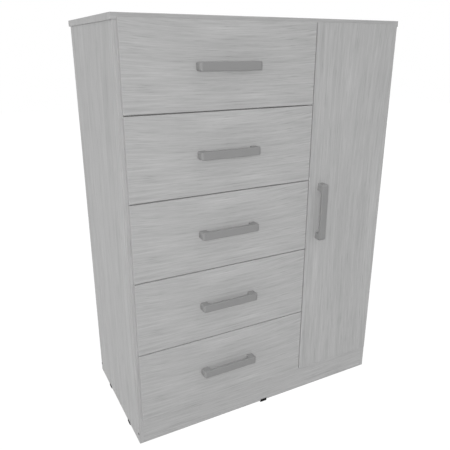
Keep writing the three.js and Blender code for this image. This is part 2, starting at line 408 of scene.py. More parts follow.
# %% [markdown]
# ### One streak
#
# A streak is a soft ellipse, long along the grain and thin across it. A Mapping node of the
# texture kind moves the board's shares into the streak's own space, where it is a round ball of
# radius one, and a quadratic sphere gradient fades from its middle to its rim. One row of the
# table below is one streak: middle along and across, half length, half width, turn in degrees,
# and depth, where a negative depth is a pale flame.

# %% The streaks of the print
streak_shares = [
    (0.13, 0.190, 0.07, 0.040, 4, 1.0),
    (0.22, 0.215, 0.14, 0.036, 8, 0.8),
    (0.31, 0.240, 0.07, 0.036, 6, 0.8),
    (0.45, 0.262, 0.10, 0.034, 10, 1.1),
    (0.54, 0.205, 0.22, 0.026, -2, 0.9),
    (0.60, 0.262, 0.05, 0.028, 0, 0.9),
    (0.90, 0.205, 0.17, 0.070, -6, 1.2),
    (0.12, 0.360, 0.13, 0.034, 12, 0.8),
    (0.27, 0.435, 0.17, 0.032, 6, 0.8),
    (0.50, 0.390, 0.22, 0.030, 0, 0.8),
    (0.76, 0.465, 0.17, 0.034, -1, 1.4),
    (0.91, 0.435, 0.14, 0.030, -8, 0.8),
    (0.60, 0.590, 0.07, 0.020, -5, 0.6),
    (0.87, 0.750, 0.19, 0.030, 2, 1.1),
    (0.15, 0.765, 0.22, 0.034, 2, 0.8),
    (0.04, 0.935, 0.14, 0.048, 2, 1.2),
    (0.32, 0.955, 0.20, 0.048, -2, 1.1),
    (0.56, 0.950, 0.12, 0.034, 9, 0.8),
    (0.90, 0.955, 0.20, 0.050, 6, 1.3),
    (0.48, 0.080, 0.42, 0.160, 0, -1.3),
    (0.82, 0.090, 0.20, 0.080, -2, -0.9),
    (0.58, 0.620, 0.30, 0.060, -5, -0.9),
    (0.15, 0.590, 0.28, 0.050, 2, -0.8),
    (0.66, 0.850, 0.30, 0.090, 0, -1.0),
]


def streaks(tree, shares):
    """The sum of all the streaks' depths at a place of the board."""
    total = 0.0
    for along, across, half_length, half_width, turn, depth in streak_shares:
        inputs = {
            "Vector": shares,
            "Location": (along, across, 0),
            "Rotation": (0, 0, math.radians(turn) * half_width / half_length),
            "Scale": (half_length, half_width, 1),
        }
        place = node(tree, "ShaderNodeMapping", inputs, vector_type="TEXTURE").outputs[0]
        kind = "QUADRATIC_SPHERE"
        ball = node(tree, "ShaderNodeTexGradient", {"Vector": place}, gradient_type=kind)
        total = maths(tree, "MULTIPLY_ADD", ball.outputs[1], depth, total)
    return total


print("the print has", len(streak_shares), "streaks")

# %% [markdown]
# ### The whole print
#
# The coordinate across the board is bent into a shallow arch that flattens towards its foot, and
# a slow noise makes it waver. Noise that is drawn out along this track then gives bands, fibres,
# dashes and pale and dark clouds, each at its own scale, and the pores are laid straight over
# them. The streaks have turns of their own in the table above, which follow the same arch, so
# that they sit in the bands as if they had grown there.

# %% The layers of the print
arch_share = 0.30
waver_share = 0.02
middle_share = 0.5
dash_level = 0.07
streak_breaks = 2.4
foil_roughness = 0.56
fibre_roughness = -0.25
pore_height = 0.6

# One row is one noise: its scales along, across and through the board, its detail and roughness
print_noises = {
    "waver": ((2.0, 3.0, 1.0), 3.0, 0.5),
    "bands": ((2.6, 27.0, 1.0), 3.0, 0.55),
    "fibres": ((11.0, 420.0, 1.0), 3.0, 0.6),
    "dashes": ((13.0, 310.0, 1.0), 3.0, 0.6),
    "cloud": ((1.4, 3.0, 1.0), 2.0, 0.5),
    "pores": ((55.0, 1700.0, 1700.0), 2.0, 0.5),
}
# How strongly each layer shades the print, where a negative one darkens it
print_strengths = {
    "bands": 0.37,
    "fibres": 0.48,
    "pores": 0.16,
    "cloud": 0.10,
    "streaks": -0.085,
    "dashes": -1.5,
}
print("the print is laid in", len(print_strengths), "layers")


# %% The grain group
def arched_track(tree, given):
    """The shares along and across the board, bent into the arch and shifted for the board."""
    shares, shift = given.outputs["Shares"], given.outputs["Shift"]
    parts = node(tree, "ShaderNodeSeparateXYZ", {0: shares})
    along, across = parts.outputs[0], parts.outputs[1]
    off_middle = maths(tree, "SUBTRACT", along, middle_share)
    bow = maths(tree, "MULTIPLY", off_middle, off_middle)
    from_foot = maths(tree, "SUBTRACT", 1.0, across)
    flattened = maths(tree, "MULTIPLY", bow, from_foot)
    arch = maths(tree, "MULTIPLY", flattened, arch_share)
    moved = vector_maths(tree, "ADD", shares, shift)
    wave = noise(tree, moved, *print_noises["waver"])
    waver = maths(tree, "MULTIPLY", wave, waver_share)
    arched = maths(tree, "ADD", across, arch)
    bent = maths(tree, "ADD", arched, waver)
    track = node(tree, "ShaderNodeCombineXYZ", {0: along, 1: bent, 2: 0.0}).outputs[0]
    return vector_maths(tree, "ADD", track, shift)


def print_layers(tree, given):
    """The value of every layer at a place of the board."""
    track = arched_track(tree, given)
    laid = vector_maths(tree, "MULTIPLY", track, given.outputs["Size"])
    grounds = {
        "bands": track,
        "fibres": laid,
        "dashes": laid,
        "cloud": track,
        "pores": given.outputs["Metres"],
    }
    layers = {key: noise(tree, vector, *print_noises[key]) for key, vector in grounds.items()}
    raised = maths(tree, "SUBTRACT", layers["dashes"], dash_level)
    layers["dashes"] = maths(tree, "MAXIMUM", raised, 0.0)
    breaks = maths(tree, "MULTIPLY", layers["fibres"], streak_breaks)
    broken = maths(tree, "ADD", 1.0, breaks)
    marks = streaks(tree, given.outputs["Shares"])
    layers["streaks"] = maths(tree, "MULTIPLY", marks, broken)
    return layers


def grain_group():
    inputs = {
        "Shares": "Vector",
        "Metres": "Vector",
        "Size": "Vector",
        "Shift": "Vector",
        "Foil": "Color",
    }
    tree, given = group_tree("printed wood grain", inputs)
    layers = print_layers(tree, given)
    change = 0.0
    for key, strength in print_strengths.items():
        change = maths(tree, "MULTIPLY_ADD", layers[key], strength, change)
    tint = maths(tree, "ADD", 1.0, change)
    color = vector_maths(tree, "SCALE", given.outputs["Foil"], tint)
    fibres = layers["fibres"]
    rough = maths(tree, "MULTIPLY_ADD", fibres, fibre_roughness, foil_roughness)
    height = maths(tree, "MULTIPLY_ADD", layers["pores"], pore_height, fibres)
    give(tree, color, rough, height)
    return tree


wood_print = grain_group()
print("the print's group has", len(wood_print.nodes), "nodes")

# %% [markdown]
# ### Foil for one board
#
# Each board has its own foil material, because its print is laid out on its own box. The first
# Mapping node turns metres into shares of that box, counted from the corner where the print
# starts, and the axes are then put in the print's order: along, across, through.


# %% The foil material
def grey(level):
    """A neutral colour as the sockets take it."""
    return (level, level, level, 1)


foil_grey = grey(0.43)
foil_specular = 0.35
foil_bump = 0.05 * mm


def blank(name, roughness, specular=0.5, metallic=0.0):
    """A new material, its node tree, its Principled BSDF, and the place in metres."""
    material = bpy.data.materials.new(name)
    material.use_nodes = True
    tree = material.node_tree
    shader = tree.nodes["Principled BSDF"]
    shader.inputs["Roughness"].default_value = roughness
    shader.inputs["Specular IOR Level"].default_value = specular
    shader.inputs["Metallic"].default_value = metallic
    metres = node(tree, "ShaderNodeTexCoord").outputs["Object"]
    return material, tree, shader, metres


def foil(name, box, order, flips, shift=(0, 0, 0), colour=foil_grey):
    """Foil on the board in that box. The order names the axes along, across and through the
    board, and the flips say along which of them the print starts at the high end."""
    low, high = box
    size = high - low
    material, tree, shader, metres = blank(name, foil_roughness, foil_specular)
    signs = [-1 if axis in flips else 1 for axis in "XYZ"]
    starts = [high[i] if signs[i] < 0 else low[i] for i in range(3)]
    to_shares = {
        "Vector": metres,
        "Location": [-signs[i] * starts[i] / size[i] for i in range(3)],
        "Scale": [signs[i] / size[i] for i in range(3)],
    }
    place = node(tree, "ShaderNodeMapping", to_shares)
    picked = []
    for vector in (place.outputs[0], metres):
        parts = node(tree, "ShaderNodeSeparateXYZ", {0: vector})
        ordered = {i: parts.outputs["XYZ".index(axis)] for i, axis in enumerate(order)}
        picked.append(node(tree, "ShaderNodeCombineXYZ", ordered).outputs[0])
    inputs = {
        "Shares": picked[0],
        "Metres": picked[1],
        "Size": [size["XYZ".index(axis)] for axis in order],
        "Shift": shift,
        "Foil": colour,
    }
    group = node(tree, "ShaderNodeGroup", inputs, node_tree=wood_print)
    wear(tree, shader, group, foil_bump)
    return material


print("foil grey", foil_grey[0])

# %% [markdown]
# ## The plain materials
#
# What the foil doesn't cover has finishes of its own. Raw chipboard shows on the hidden edges,
# pressed flakes of many tones. The drawer boxes wear a plain pale foil with a light linen
# emboss. The back and the drawer bottoms are hardboard. Metal, plastic and paint are mostly one
# colour, so their life comes from roughness and from a faint unevenness of the surface. Smudges
# are used by several of them, so they are a node group.

# %% The smudge group
smear_scale = 28.0
grit_scale = 1500.0
grit_detail = 1.0
grit_share = 0.7
smear_roughness = 0.22


def smudge_group():
    inputs = {"Vector": "Vector", "Paint": "Color", "Fleck": "Float", "Roughness": "Float"}
    tree, given = group_tree("handled surface", inputs)
    where = given.outputs["Vector"]
    smear = noise(tree, where, evenly(smear_scale))
    grit = noise(tree, where, evenly(grit_scale), grit_detail)
    both = maths(tree, "MULTIPLY_ADD", grit, grit_share, smear)
    tint = maths(tree, "MULTIPLY_ADD", both, given.outputs["Fleck"], 1.0)
    color = vector_maths(tree, "SCALE", given.outputs["Paint"], tint)
    base = given.outputs["Roughness"]
    rough = maths(tree, "MULTIPLY_ADD", smear, smear_roughness, base)
    give(tree, color, rough, grit)
    return tree


handled = smudge_group()
print("the smudges' group has", len(handled.nodes), "nodes")


# %% Paint, plastic and metal
def even(name, colour, roughness, fleck, relief, specular=0.5, metallic=0.0):
    """A material of one colour with smudges, and a relief of that depth."""
    material, tree, shader, metres = blank(name, roughness, specular, metallic)
    inputs = {"Vector": metres, "Paint": colour, "Fleck": fleck, "Roughness": roughness}
    group = node(tree, "ShaderNodeGroup", inputs, node_tree=handled)
    wear(tree, shader, group, relief)
    return material


faint = 0.01 * mm
fine = 0.02 * mm
coarse = 0.03 * mm
nickel_tone = (0.62, 0.61, 0.59, 1)
handle_paint = even(
    "satin handle paint", grey(0.265), roughness=0.55, fleck=0.10, relief=fine, specular=0.3
)
nickel = even("nickel plate", nickel_tone, roughness=0.28, fleck=0.12, relief=faint, metallic=1.0)
zinc = even("dull zinc", grey(0.32), roughness=0.42, fleck=0.25, relief=fine, metallic=1.0)
black_steel = even("blackened steel", grey(0.035), roughness=0.45, fleck=0.3, relief=fine)
glide_plastic = even(
    "black glide plastic", grey(0.012), roughness=0.9, fleck=0.4, relief=coarse, specular=0.05
)
runner_plastic = even("pale runner plastic", grey(0.70), roughness=0.36, fleck=0.06, relief=faint)
edge_band = even("grey edge band", grey(0.42), roughness=0.45, fleck=0.05, relief=faint)
print("materials so far:", len(bpy.data.materials))


# %% Materials between two tones
def two_tone(name, pattern, tones, roughness, specular, relief):
    """A material between two colours. Its pattern gives the share of the second, and a height."""
    material, tree, shader, metres = blank(name, roughness, specular)
    share, height = pattern(tree, metres)
    color = mixed(tree, share, *tones)
    tree.links.new(color, shader.inputs["Base Color"])
    bump(tree, shader, height, relief)
    print(name, "has", len(tree.nodes), "nodes")
    return material


# %% Raw chipboard
flake_scales = (320.0, 320.0, 700.0)
dust_scale = 2500.0
dust_share = 0.5
flake_tones = ((0.23, 0.21, 0.18, 1), (0.47, 0.44, 0.39, 1))


def flake_pattern(tree, metres):
    """Voronoi cells are the flakes, each with a tone of its own, and dust lies over them."""
    place = vector_maths(tree, "MULTIPLY", metres, flake_scales)
    flakes = node(tree, "ShaderNodeTexVoronoi", {"Vector": place, "Scale": 1.0})
    tone = node(tree, "ShaderNodeSeparateXYZ", {0: flakes.outputs["Color"]}).outputs[0]
    dust = noise(tree, metres, evenly(dust_scale), detail=2.0)
    share = maths(tree, "MULTIPLY_ADD", dust, dust_share, tone, clamp=True)
    return share, flakes.outputs["Distance"]


raw_board = two_tone(
    "raw chipboard", flake_pattern, flake_tones, roughness=0.85, specular=0.2, relief=0.25 * mm
)

# %% Plain lining foil
long_thread = 90.0
thin_thread = 1400.0
weave_share = 0.6
lining_cloud_scale = 6.0
lining_cloud_share = 0.5
lining_tones = (grey(0.54), grey(0.64))


def linen_pattern(tree, metres):
    """Two noises, drawn out along X and along Z, cross as the threads of linen do."""
    level = noise(tree, metres, (long_thread, thin_thread, thin_thread), detail=2.0)
    upright = noise(tree, metres, (thin_thread, thin_thread, long_thread), detail=2.0)
    weave = maths(tree, "ADD", level, upright)
    cloud = noise(tree, metres, evenly(lining_cloud_scale), detail=2.0)
    share = maths(tree, "MULTIPLY_ADD", cloud, lining_cloud_share, middle_share)
    share = maths(tree, "MULTIPLY_ADD", weave, weave_share, share, clamp=True)
    return share, weave


lining_foil = two_tone(
    "pale lining foil", linen_pattern, lining_tones, roughness=0.6, specular=0.3, relief=0.04 * mm
)

# %% Hardboard
felt_scale = 420.0
felt_share = 0.9
board_cloud_scale = 7.0
board_cloud_share = 0.5
felt_tones = ((0.38, 0.37, 0.36, 1), (0.52, 0.51, 0.50, 1))


def felt_pattern(tree, metres):
    """Short fibres pressed into a felt, with slow clouds over it."""
    felt = noise(tree, metres, evenly(felt_scale), detail=4.0, roughness=0.65)
    cloud = noise(tree, metres, evenly(board_cloud_scale))
    share = maths(tree, "MULTIPLY_ADD", felt, felt_share, middle_share)
    share = maths(tree, "MULTIPLY_ADD", cloud, board_cloud_share, share, clamp=True)
    return share, felt


hard_board = two_tone(
    "lacquered hardboard", felt_pattern, felt_tones, roughness=0.62, specular=0.3, relief=0.06 * mm
)

# %% [markdown]
# ## The boards of the body
#
# A board is a box with foil on its faces. The front edges of the side panels and of the top show
# beside the fronts, so they wear strips of the same print, laid out on the edge. The press leaves
# an edge radius of about half a millimetre. Each board starts as a cube at the size of its node,
# and all of its edges are beveled. The edges that a buyer never sees are raw chipboard, so those
# faces get a second material.

# %% Boards
board_edge = 0.5 * mm


def board(name, node_name, order, flips, shift):
    """A board in the place of its node. The shift moves its print to a stretch of its own."""
    low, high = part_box(node_name)
    piece = block(name, low, high)
    round_off(piece, board_edge, 3, everywhere)
    shade(piece)
    cover = foil(name.replace("_", " ") + " foil", (low, high), order, flips, shift)
    return fit(piece, "carcass", cover, [node_name])


left_board = board("left_side_board", "left_side_panel", "ZYX", "Z", (0.0, 0.0, 1.7))
right_board = board("right_side_board", "right_side_panel", "ZYX", "Z", (3.1, 5.2, 0.0))
floor_board = board("cupboard_floor", "bottom_panel", "XYZ", "", (1.3, 7.7, 0.0))
wall_board = board("partition_board", "centre_partition", "ZYX", "Z", (4.3, 2.6, 0.0))
front_base = board("front_plinth_board", "front_plinth", "XZY", "Z", (5.9, 1.4, 0.0))
rear_base = board("rear_plinth_board", "rear_plinth", "XZY", "Z", (6.4, 3.3, 0.0))
shelf_board = board("shelf_board", "cupboard_shelf", "XYZ", "", (7.2, 0.6, 0.0))
top_board = board("top_board", "top_panel", "XYZ", "Y", (8.8, 4.9, 0.0))

for piece in (left_board, right_board):
    paint(piece, raw_board, looks(y=1))
    paint(piece, raw_board, looks(z=-1))
for piece in (floor_board, wall_board, shelf_board, top_board):
    paint(piece, raw_board, looks(y=1))
for piece in (front_base, rear_base):
    paint(piece, raw_board, looks(z=-1))
print("the body has 8 boards with edges of", round(board_edge / mm, 2), "mm")

# %% Front edges and the back
# The strip on the top's front edge is a slightly darker grey than the other foil
top_edge_grey = grey(0.42)
top_edge_shift = (2.7, 8.1, 0.0)
side_edge_grey = grey(0.43)
side_edge_shift = (4.1, 0.3, 0.0)

top_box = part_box("top_panel")
edge_foil = foil("top edge foil", top_box, "XZY", "Z", top_edge_shift, top_edge_grey)
paint(top_board, edge_foil, looks(y=-1))
for piece, node_name in ((left_board, "left_side_panel"), (right_board, "right_side_panel")):
    side_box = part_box(node_name)
    name = piece.name + " edge"
    edge_foil = foil(name, side_box, "ZXY", "Z", side_edge_shift, side_edge_grey)
    paint(piece, edge_foil, looks(y=-1))


def refinish(node_name, material):
    """A node that is shown as it is gets another material."""
    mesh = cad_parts[node_name].data
    mesh.materials.clear()
    mesh.materials.append(material)


refinish("back_panel", hard_board)
print("the back is", hard_board.name)

# %% [markdown]
# ## Boards with grooves and bores
#
# The drawer sides, the drawer fronts and the door have grooves and bores that the frame already
# holds in the right places. Modelling them again would only risk a mistake. A node's own mesh
# stays as it is, so each board starts as a copy of it: the copy's loose triangles are
# welded, flat ones dissolve into whole faces, and then its edges are rounded like the others.

# %% Soft copies of nodes
flat_angle = math.radians(0.5)


def thicken(piece, low, high, thickness):
    """Moves the outermost upright and level faces of a front board out."""
    sides = [(-rightwards, -low.x), (rightwards, high.x), (-upwards, -low.z), (upwards, high.z)]
    for way, distance in sides:

        def outermost(middle, normal):
            return near(normal.dot(way), 1) and near(middle.dot(way), distance)

        edit(piece, "FACE", outermost)
        bpy.ops.transform.translate(value=way * thickness)
        leave()


def weld(name, node_name):
    """A copy of a node's mesh, welded into whole faces."""
    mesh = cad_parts[node_name].data.copy()
    mesh.materials.clear()
    mesh.name = name
    piece = bpy.data.objects.new(name, mesh)
    bpy.context.scene.collection.objects.link(piece)
    edit(piece, "FACE", everywhere)
    bpy.ops.mesh.remove_doubles(threshold=hair)
    bpy.ops.mesh.dissolve_limited(angle_limit=flat_angle)
    bpy.ops.mesh.normals_make_consistent(inside=False)
    leave()
    return piece


print("faces within", round(math.degrees(flat_angle), 1), "degrees become one")

# %% Fronts and the door
band_thickness = 0.4 * mm
band_slope = 0.8


def leaf(name, node_name, body, order, flips):
    """A front board, made thicker by its edge bands, with foil all over it and lining on its
    back."""
    low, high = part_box(node_name)
    piece = weld(name, node_name)
    thicken(piece, low, high, band_thickness)
    soften(piece, board_edge)
    cover = foil(name.replace("_", " ") + " foil", (low, high), order, flips)
    fit(piece, body, cover, [node_name])
    paint(piece, lining_foil, looks(y=1))
    return piece


def banded(middle, normal):
    """The top, bottom and left edges of a drawer's front wear a plain band."""
    return abs(normal.z) > band_slope or normal.x < -band_slope


for body in drawers:
    face = leaf(f"{body}_face", f"{body}_front", body, "XZY", "Z")
    paint(face, edge_band, banded)
leaf("door_leaf", "door_panel", "door", "ZXY", "ZX")
print("a drawer's front has", len(face.data.polygons), "faces")

# %% Drawer boxes
for body in drawers:
    for side in ("left", "right"):
        node_name = f"{body}_{side}_side"
        wall = weld(f"{body}_{side}_wall", node_name)
        soften(wall, board_edge)
        fit(wall, body, lining_foil, [node_name])
        paint(wall, raw_board, looks(y=1))
    low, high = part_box(f"{body}_back")
    rear = block(f"{body}_rear_wall", low, high)
    soften(rear, board_edge)
    fit(rear, body, lining_foil, [f"{body}_back"])
    refinish(f"{body}_bottom", hard_board)
print(len(drawers), "drawers have their boxes")

# %% [markdown]
# ## The bow handles
#
# Each handle is a cast bow: a flat grip that bends into a foot at both ends, with its outside
# corners rounded, and a satin paint over it. It is modelled once, lying along X in front of the
# plane Y = 0. The grip is a block, cut in three by two bisects. Its end faces at the back are
# extruded to the front board as feet. The inner corners and then the ends are beveled round, and
# the outline as seen from the front is trimmed with a block that has rounded corners.
#
# Bevels would clash where the two roundings meet, so a fine voxel remesh and a light
# smoothing melt the edges together instead, as casting and paint do.

# %% One handle
foot_length = 20 * mm
grip_thickness = 8 * mm
end_radius = 7 * mm
inner_radius = 8 * mm
corner_radius = 5 * mm
melt_grid = 0.7 * mm
kept_faces_share = 0.35
bow_low, bow_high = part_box("drawer_1_handle")
bow_size = bow_high - bow_low


def bent_bar(half, rise, reach):
    """The grip with its two feet, wider than the handle, so that its edges can be trimmed."""
    wide = rise + grip_thickness
    inner = grip_thickness - reach
    foot_edge = half - foot_length
    bar = block("handle_model", (-half, -reach, -wide), (half, inner, wide))
    for x in (-foot_edge, foot_edge):
        edit(bar, "FACE", everywhere)
        bpy.ops.mesh.bisect(plane_co=(x, 0, 0), plane_no=rightwards)
        leave()
    edit(bar, "FACE", lambda middle, normal: normal.y > aligned and abs(middle.x) > foot_edge)
    push(y=-inner)
    leave()
    upright = runs(z=1)

    def upright_at(x, y):
        return lambda middle, line: (
            upright(middle, line) and near(abs(middle.x), x) and near(middle.y, y)
        )

    round_off(bar, inner_radius, 8, upright_at(foot_edge, inner))
    round_off(bar, end_radius, 10, upright_at(half, -reach))
    return bar


def bow_handle():
    half, rise, reach = bow_size.x / 2, bow_size.z / 2, bow_size.y
    bow = bent_bar(half, rise, reach)
    window = block("window", (-half, -2 * reach, -rise), (half, reach, rise))
    round_off(window, corner_radius, 8, runs(y=1))
    cut(bow, window, "INTERSECT")
    modify(bow, "REMESH", mode="VOXEL", voxel_size=melt_grid)
    modify(bow, "SMOOTH", factor=0.5, iterations=5)
    modify(bow, "DECIMATE", ratio=kept_faces_share)
    take(bow)
    bpy.ops.object.shade_smooth()
    return bow


handle_model = bow_handle()
print("handle of", len(handle_model.data.polygons), "faces")


# %% Hang the handles
def hang(body, turn=(0, 0, 0)):
    """A copy of the bow in the place of its node, with its feet on the front board."""
    node_name = f"{body}_handle"
    middle = middle_of(node_name)
    place = (middle.x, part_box(node_name)[1].y, middle.z)
    bow = copy_of(handle_model, f"{body}_bow", place, turn)
    return fit(bow, body, handle_paint, [node_name])


for body in drawers:
    hang(body)
hang("door", (0, quarter, 0))
bpy.data.objects.remove(handle_model)
print("handles on", len(drawers), "drawers and the door")

# %% [markdown]
# ## Screws, cams, nails and pins
#
# Flat-pack furniture shows how it is held together. Two dark screw heads sit low on each side
# panel, where they hold the plinths. Inside, each handle is held by two pan heads, each drawer
# side by two cam discs, the back by a row of nails, and the shelf lies on four pins.
#
# One head is modelled for each kind: a drum whose rim is beveled, and on screws and cams a cross
# recess, cut by two thin blocks. Copies of it are then spread to their places and joined, one
# piece for each row.

# %% Heads
head_sides = 32
recess_arm_share = 0.55
recess_blade_share = 0.13
recess_floor_share = 0.5


def head(name, material, radius, height, rim_share=0.4, cross=True):
    """A small round head that stands on Z = 0 and looks up."""
    piece = drum(name, (0, 0, height / 2), radius, height, head_sides)
    rim = rim_share * height
    round_off(
        piece, rim, 3, lambda middle, line: near(middle.z, height) and abs(line.z) < crossing
    )
    if cross:
        arm, blade = recess_arm_share * radius, recess_blade_share * radius
        floor_z, above = recess_floor_share * height, 2 * height
        cut(piece, block("slot", (-arm, -blade, floor_z), (arm, blade, above)))
        cut(piece, block("slot", (-blade, -arm, floor_z), (blade, arm, above)))
    shade(piece)
    piece.data.materials.append(material)
    return piece


side_screw = head("side_screw", black_steel, radius=3.4 * mm, height=0.8 * mm)
pan_screw = head("pan_screw", zinc, radius=4.2 * mm, height=2.0 * mm)
small_screw = head("small_screw", zinc, radius=3.0 * mm, height=1.0 * mm)
cam_disc = head("cam_disc", zinc, radius=7.5 * mm, height=0.6 * mm)
nail = head("nail", zinc, radius=2.2 * mm, height=0.5 * mm, cross=False)
shelf_pin = head("shelf_pin", zinc, radius=2.5 * mm, height=8 * mm, rim_share=0.15, cross=False)
head_models = (side_screw, pan_screw, small_screw, cam_disc, nail, shelf_pin)
print("heads:", ", ".join(model.name for model in head_models))

# %% Screws of the plinths
screw_inset = 6.5 * mm
front_screw_rise = 28.6 * mm
rear_screw_rise = 25 * mm
left_low, left_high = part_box("left_side_panel")
right_low, right_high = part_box("right_side_panel")

for side, x, facing in (("left", left_low.x, "-X"), ("right", right_high.x, "+X")):
    front = (x, left_low.y + screw_inset, left_low.z + front_screw_rise)
    rear = (x, left_high.y - screw_inset, left_low.z + rear_screw_rise)
    fit(spread(side_screw, f"{side}_side_screws", [front, rear], facing), "carcass", None)
print("2 screws low on each side")

# %% Nails of the back
nail_inset = 6 * mm
nail_pitch = 95 * mm


def nail_row(start, end):
    """Places at about one nail pitch along a line."""
    steps = round((end - start).length / nail_pitch)
    return [start.lerp(end, i / steps) for i in range(steps + 1)]


back_low, back_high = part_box("back_panel")
west, east = back_low.x + nail_inset, back_high.x - nail_inset
south, north = back_low.z + nail_inset, back_high.z - nail_inset
outline = ((west, south), (east, south), (east, north), (west, north))
corners = [Vector((x, back_high.y, z)) for x, z in outline]
nail_places = []
for first, second in zip(corners, corners[1:] + corners[:1]):
    nail_places += nail_row(first, second)[:-1]
wall_x = middle_of("centre_partition").x
foot, crown = Vector((wall_x, back_high.y, south)), Vector((wall_x, back_high.y, north))
nail_places += nail_row(foot, crown)[1:-1]
fit(spread(nail, "back_nails", nail_places, "+Y"), "carcass", None)
print(len(nail_places), "nails hold the back")

# %% Pins of the shelf
pin_setback = 40 * mm
pin_drop = 2.5 * mm
shelf_low, shelf_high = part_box("cupboard_shelf")
pin_z = shelf_low.z - pin_drop
pin_spots = [(shelf_low.y + pin_setback, pin_z), (shelf_high.y - pin_setback, pin_z)]
partition_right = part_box("centre_partition")[1].x
spread_on_walls(shelf_pin, "shelf_pins", "carcass", partition_right, right_low.x, pin_spots)
print(2 * len(pin_spots), "pins carry the shelf")

# %% Screws and cams of the drawers and the door
handle_screw_span = bow_size.x - foot_length
cam_setback = 30 * mm
cam_rise = 38 * mm
cam_pitch = 80 * mm


def handle_screws(body, front_name, way):
    """Two pan heads on the back of a front board, behind the feet of its handle."""
    middle = middle_of(f"{body}_handle")
    middle.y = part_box(front_name)[1].y
    places = [middle + sign * way * handle_screw_span / 2 for sign in (-1, 1)]
    fit(spread(pan_screw, f"{body}_handle_screws", places, "+Y"), body, None)


for body in drawers:
    handle_screws(body, f"{body}_front", rightwards)
    left_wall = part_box(f"{body}_left_side")
    right_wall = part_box(f"{body}_right_side")
    cam_y = left_wall[0].y + cam_setback
    lowest = left_wall[0].z + cam_rise
    cam_spots = [(cam_y, lowest), (cam_y, lowest + cam_pitch)]
    spread_on_walls(cam_disc, f"{body}_cams", body, left_wall[1].x, right_wall[0].x, cam_spots)

handle_screws("door", "door_panel", upwards)
print("each drawer has", 2 * len(cam_spots), "cams")

# %% [markdown]
# ## Runners, hinges and glides
#
# The drawers ride on plastic strips. A strip is a block with a lead-in at its front end, a
# shallow channel along its face to save plastic, and three screws.
#
# The door hangs on two concealed hinges. The cup is a pressed dish with a screwed flange: a drum,
# whose open face is inset for the wall and pushed in for the hollow. The arm and its
# mounting plate are a soft copy of their node, with the adjusting screws added.
#
# The glides are nailed under the boards. A thin lip of each rises a little over the face of its
# board, and all that shows of them is a small dark mark.

# %% Runner strips
lead_in = 4 * mm
channel_wall = 3 * mm
channel_depth = 0.8 * mm
strip_edge = 0.3 * mm
strip_screw_shares = (0.12, 0.5, 0.88)


def runner(name, node_name, facing):
    low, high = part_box(node_name)
    way = 1 if facing == "+X" else -1
    face_x = high.x if way > 0 else low.x
    upright = runs(z=1)

    def leading(middle, line):
        return upright(middle, line) and near(middle.x, face_x) and near(middle.y, low.y)

    strip = block(name, low, high)
    round_off(strip, lead_in, 1, leading)
    edit(strip, "FACE", looks(x=way))
    bpy.ops.mesh.inset(thickness=channel_wall)
    push(x=-way * channel_depth)
    leave()
    soften(strip, strip_edge, segments=2)
    strip.data.materials.append(runner_plastic)
    middle_z = (low.z + high.z) / 2
    channel_x = face_x - way * channel_depth
    length = high.y - low.y
    places = [(channel_x, low.y + share * length, middle_z) for share in strip_screw_shares]
    screws = spread(small_screw, "screws", places, facing)
    return fit(merge(name, [strip, screws]), "carcass", None, [node_name])


for body in drawers:
    runner(f"{body}_left_strip", f"{body}_left_runner", "+X")
    runner(f"{body}_right_strip", f"{body}_right_runner", "-X")
print(2 * len(drawers), "runner strips")

# %% Hinge cups
cup_sides = 64
cup_wall = 1 * mm
flange_thickness = 1.2 * mm
flange_width = 16 * mm
flange_corner = 4 * mm
flange_screw_inset = 3.6 * mm
pressed_edge = 0.3 * mm


def hinge_cup(name, node_name):
    low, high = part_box(node_name)
    middle = (low + high) / 2
    radius = (high.x - low.x) / 2
    depth = high.y - low.y
    dish = drum(name, middle, radius, depth, cup_sides, along_y)
    edit(dish, "FACE", looks(y=1))
    bpy.ops.mesh.inset(thickness=cup_wall)
    push(y=cup_wall - depth)
    leave()
    soften(dish, pressed_edge, segments=2)

    half = flange_width / 2
    corner = (middle.x - half, high.y - flange_thickness, low.z)
    flange = block("flange", corner, (middle.x + half, high.y, high.z))
    round_off(flange, flange_corner, 6, runs(y=1))
    cut(flange, drum("opening", middle, radius - cup_wall, 3 * depth, cup_sides, along_y))
    soften(flange, pressed_edge, segments=2)
    for pressed in (dish, flange):
        pressed.data.materials.append(nickel)
    heights = (low.z + flange_screw_inset, high.z - flange_screw_inset)
    places = [(middle.x, high.y, z) for z in heights]
    screws = spread(small_screw, "screws", places, "+Y")
    return fit(merge(name, [dish, flange, screws]), "door", None, [node_name])


print("the cups have walls of", round(cup_wall / mm, 1), "mm")

# %% Hinge arms, and both hinges
arm_face_inset = 12 * mm
plate_thickness = 3 * mm
adjuster_setbacks = (34 * mm, 50 * mm)
plate_screw_rise = 18 * mm
plate_middle_setback = 40 * mm


def hinge_arm(name, node_name):
    arm = weld(name, node_name)
    soften(arm, pressed_edge, segments=2)
    arm.data.materials.append(nickel)
    wall_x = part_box(node_name)[1].x
    middle_z = middle_of(node_name).z
    arm_x = wall_x - arm_face_inset
    adjusters = [(arm_x, left_low.y + setback, middle_z) for setback in adjuster_setbacks]
    plate_x = wall_x - plate_thickness
    plate_y = left_low.y + plate_middle_setback
    fixings = [(plate_x, plate_y, middle_z + way * plate_screw_rise) for way in (-1, 1)]
    screws = spread(small_screw, "screws", adjusters + fixings, "-X")
    return fit(merge(name, [arm, screws]), "carcass", None, [node_name])


for level in ("upper", "lower"):
    hinge_cup(f"{level}_hinge_dish", f"{level}_hinge_cup")
    hinge_arm(f"{level}_hinge_bracket", f"{level}_hinge_arm")
print("2 hinges with", len(adjuster_setbacks), "adjusting screws each")

# %% Glides
glide_end_radius = 3 * mm
glide_edge = 0.5 * mm
lip_rise = 4.5 * mm
lip_thickness = 0.6 * mm
lip_edge = 0.2 * mm


